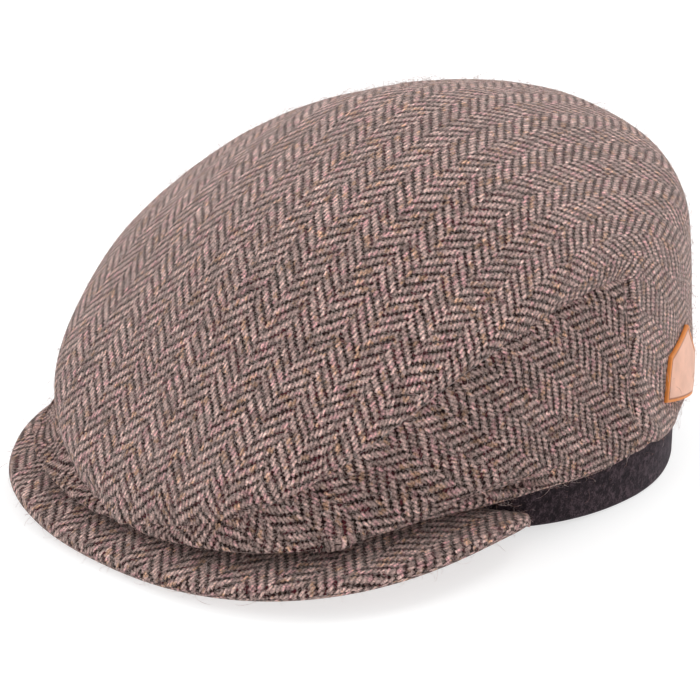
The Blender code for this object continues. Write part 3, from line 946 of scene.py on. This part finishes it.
# loose wool fibres: long curly ones that lie on the cloth and short ones that stand on it
wool = {
    "long": {"length": 0.0062, "thickness": 0.00007, "lift": 16.0, "steps": 5, "sunk": 0.10},
    "short": {"length": 0.0020, "thickness": 0.00006, "lift": 52.0, "steps": 2, "sunk": 0.25},
    # node: name, slot, long fibres and short fibres per square metre, seed
    "pieces": {
        "top_panel": ("topWool", "top_tweed", 42000.0, 90000.0, 11),
        "side_panel_left": ("leftWool", "left_tweed", 46000.0, 100000.0, 12),
        "side_panel_right": ("rightWool", "right_tweed", 46000.0, 100000.0, 13),
        "peak": ("peakWool", "peak_tweed", 40000.0, 150000.0, 14),
        "ear_band": ("bandWool", "black_wool", 7000.0, 60000.0, 15),
    },
    # shapes of fibre, one unit long: how far an arc, a hook and a wave bend aside
    "bends": ((0.30, 0.26), (0.45, -0.12), (-0.28, 0.34)),
    # shortest and longest as shares of the length, most and least tilted as shares of the lift
    "growth": (0.45, 1.25), "tilt": (1.4, 0.1),
    "floorNear": 0.0005, "floorSoft": 0.003, "tintScale": 260.0,
    "pale": picked(226, 206, 200), "brown": picked(150, 112, 104), "black": picked(70, 58, 64),
}


def woolMaterial(name, first, second):
    material = newMaterial(name)
    place = wire.node("ShaderNodeTexCoord", output=3)
    colour = noise(place, wool["tintScale"], 1.0, 0.5).step(0.44, 0.56).mixColour(first, second)
    finishMaterial({"Roughness": 0.8, "Specular IOR Level": 0.2}, {"Base Color": colour})
    return material


def woolTree(name, kinds, material):
    tree = bpy.data.node_groups.new(name, "GeometryNodeTree")
    tree.interface.new_socket("Geometry", in_out="INPUT", socket_type="NodeSocketGeometry")
    tree.interface.new_socket("Geometry", in_out="OUTPUT", socket_type="NodeSocketGeometry")

    def addInput(title, kind):
        return tree.interface.new_socket(title, in_out="INPUT", socket_type=kind).identifier

    sockets = {(kind, title): addInput(kind + " " + title, "NodeSocketFloat")
               for kind in kinds for title in ("Density", "Length")}
    sockets["seed"] = addInput("Seed", "NodeSocketInt")

    def add(kind, settings=None, **inputs):
        made = tree.nodes.new(kind)
        for key, value in (settings or {}).items():
            setattr(made, key, value)
        for key, value in inputs.items():
            socket = made.inputs[key.replace("_", " ")]
            if isinstance(value, bpy.types.NodeSocket):
                tree.links.new(value, socket)
            else:
                socket.default_value = value
        return made

    given = tree.nodes.new("NodeGroupInput")
    joined = tree.nodes.new("GeometryNodeJoinGeometry")
    for step, kind in enumerate(kinds):
        cut = wool[kind]
        shapes = tree.nodes.new("GeometryNodeGeometryToInstance")
        for bend in wool["bends"]:
            curve = add("GeometryNodeCurvePrimitiveBezierSegment", None, Resolution=cut["steps"],
                        Start=(-cut["sunk"], 0, -0.02), Start_Handle=(0.2, bend[0], 0.16),
                        End_Handle=(0.6, bend[1], 0.22), End=(0.8, bend[1] * 0.3, 0.1))
            ring = add("GeometryNodeCurvePrimitiveCircle", None, Resolution=3,
                       Radius=cut["thickness"] / cut["length"] / 2)
            tube = add("GeometryNodeCurveToMesh", None, Curve=curve.outputs[0],
                       Profile_Curve=ring.outputs[0], Fill_Caps=True)
            tree.links.new(tube.outputs[0], shapes.inputs[0])
        points = add("GeometryNodeDistributePointsOnFaces", None, Mesh=given.outputs[0],
                     Density=given.outputs[kind + " Density"], Seed=given.outputs["Seed"])
        spin = tree.nodes.new("FunctionNodeRandomValue")
        spin.data_type = "FLOAT_VECTOR"
        spin.inputs[0].default_value = (0, -math.radians(cut["lift"] * wool["tilt"][0]), 0)
        spin.inputs[1].default_value = (0, -math.radians(cut["lift"] * wool["tilt"][1]), 2 * math.pi)
        spin.inputs["Seed"].default_value = step
        turned = add("FunctionNodeRotateRotation", {"rotation_space": "LOCAL"},
                     Rotation=points.outputs["Rotation"],
                     Rotate_By=add("FunctionNodeEulerToRotation", None, Euler=spin.outputs[0]).outputs[0])
        grow = add("FunctionNodeRandomValue", {"data_type": "FLOAT"})
        grow.inputs[2].default_value, grow.inputs[3].default_value = wool["growth"]
        grow.inputs["Seed"].default_value = 20 + step
        long = add("ShaderNodeMath", {"operation": "MULTIPLY"})
        tree.links.new(grow.outputs[1], long.inputs[0])
        tree.links.new(given.outputs[kind + " Length"], long.inputs[1])
        placed = add("GeometryNodeInstanceOnPoints", None, Points=points.outputs["Points"],
                     Instance=shapes.outputs[0], Pick_Instance=True, Rotation=turned.outputs[0],
                     Scale=long.outputs[0])
        tree.links.new(placed.outputs[0], joined.inputs[0])
    real = add("GeometryNodeRealizeInstances", None, Geometry=joined.outputs[0])
    coated = add("GeometryNodeSetMaterial", None, Geometry=real.outputs[0], Material=material)
    out = tree.nodes.new("NodeGroupOutput")
    tree.links.new(coated.outputs[0], out.inputs[0])
    return tree, sockets


def makeWool(node, name, slot, longDensity, shortDensity, seed):
    points, faces = woolGrounds[node]
    first, second = ("black", "brown") if node == "ear_band" else ("brown", "pale")
    material = woolMaterial(name, wool[first], wool[second])
    item = makePiece(name, points, faces, material)
    tree, sockets = woolTree(name, ("long", "short"), material)
    grown = item.modifiers.new("wool", "NODES")
    grown.node_group = tree
    for kind, density in (("long", longDensity), ("short", shortDensity)):
        grown[sockets[kind, "Density"]] = density
        grown[sockets[kind, "Length"]] = wool[kind]["length"]
    grown[sockets["seed"]] = seed
    settle(item)
    # fibres that reach the floor bend and lie on it
    spots = np.zeros(len(item.data.vertices) * 3)
    item.data.vertices.foreach_get("co", spots)
    height = spots[2::3]
    near = wool["floorNear"]
    bent = near * np.exp(np.minimum(height - near, 0) / wool["floorSoft"])
    spots[2::3] = np.where(height < near, bent, height)
    item.data.vertices.foreach_set("co", spots)
    item.data.update()
    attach(item, "root")
    print("wool", name, len(item.data.polygons), "faces")


for node, row in wool["pieces"].items():
    makeWool(node, *row)
print("stage 6: loose wool grown")

# camera: degrees round from the front and up, focal length and picture width in pixels, and how far
# its middle is shifted, in metres
view = {"azimuth": 43, "elevation": 22, "distance": 0.830, "focalPixels": 2310, "picture": 700,
        "sideways": -0.0228, "upwards": 0.0283, "clip": 0.01}


def makeCamera():
    azimuth, elevation = math.radians(view["azimuth"]), math.radians(view["elevation"])
    back = Vector((math.sin(azimuth) * math.cos(elevation), -math.cos(azimuth) * math.cos(elevation),
                   math.sin(elevation)))
    right = Vector((math.cos(azimuth), math.sin(azimuth), 0))
    up = back.cross(right)
    data = bpy.data.cameras.new("camera")
    data.sensor_fit = "HORIZONTAL"
    data.lens = view["focalPixels"] / view["picture"] * data.sensor_width
    data.clip_start = view["clip"]
    camera = newObject("camera", data)
    turned = Matrix((right, up, back)).transposed().to_4x4()
    turned.translation = (right * view["sideways"] + up * view["upwards"] + back * view["distance"]
                          + Vector((0, middleBack, 0)))
    camera.matrix_world = turned
    bpy.context.scene.camera = camera


stage = {
    "reach": 4, "grey": 0.42, "glow": 0.66, "world": 0.72, "aim": (0, 0, 0.05),
    # name, power, size, place
    "lamps": (("key", 5.2, 1.2, (-0.55, -0.75, 1.5)),
              ("left", 3.2, 0.9, (-1.10, 0.10, 0.75)),
              ("back", 11.0, 1.0, (0.10, 0.95, 1.35))),
}


def makeStage():
    material = newMaterial("paleFloor")
    grey, far = stage["grey"], stage["reach"]
    finishMaterial({"Base Color": (grey, grey, grey, 1), "Roughness": 0.9,
                    "Emission Color": (1.0, 1.0, 1.0, 1), "Emission Strength": stage["glow"]}, {})
    mesh = bpy.data.meshes.new("floor")
    mesh.from_pydata([(-far, -far, 0), (far, -far, 0), (far, far, 0), (-far, far, 0)], [], [(0, 1, 2, 3)])
    mesh.materials.append(material)
    floor = newObject("floor", mesh)
    world = bpy.data.worlds.new("studio")
    world.use_nodes = True
    sky = world.node_tree.nodes["Background"].inputs
    sky["Color"].default_value = (1, 1, 1, 1)
    sky["Strength"].default_value = stage["world"]
    bpy.context.scene.world = world
    for name, power, size, place in stage["lamps"]:
        data = bpy.data.lights.new(name, "AREA")
        data.energy = power
        data.size = size
        lamp = newObject(name, data)
        lamp.location = place
        lamp.rotation_euler = (Vector(stage["aim"]) - Vector(place)).to_track_quat("-Z", "Y").to_euler()
    bpy.context.scene.view_settings.view_transform = "Standard"


makeCamera()
makeStage()
print("stage 7: camera, floor and light set")
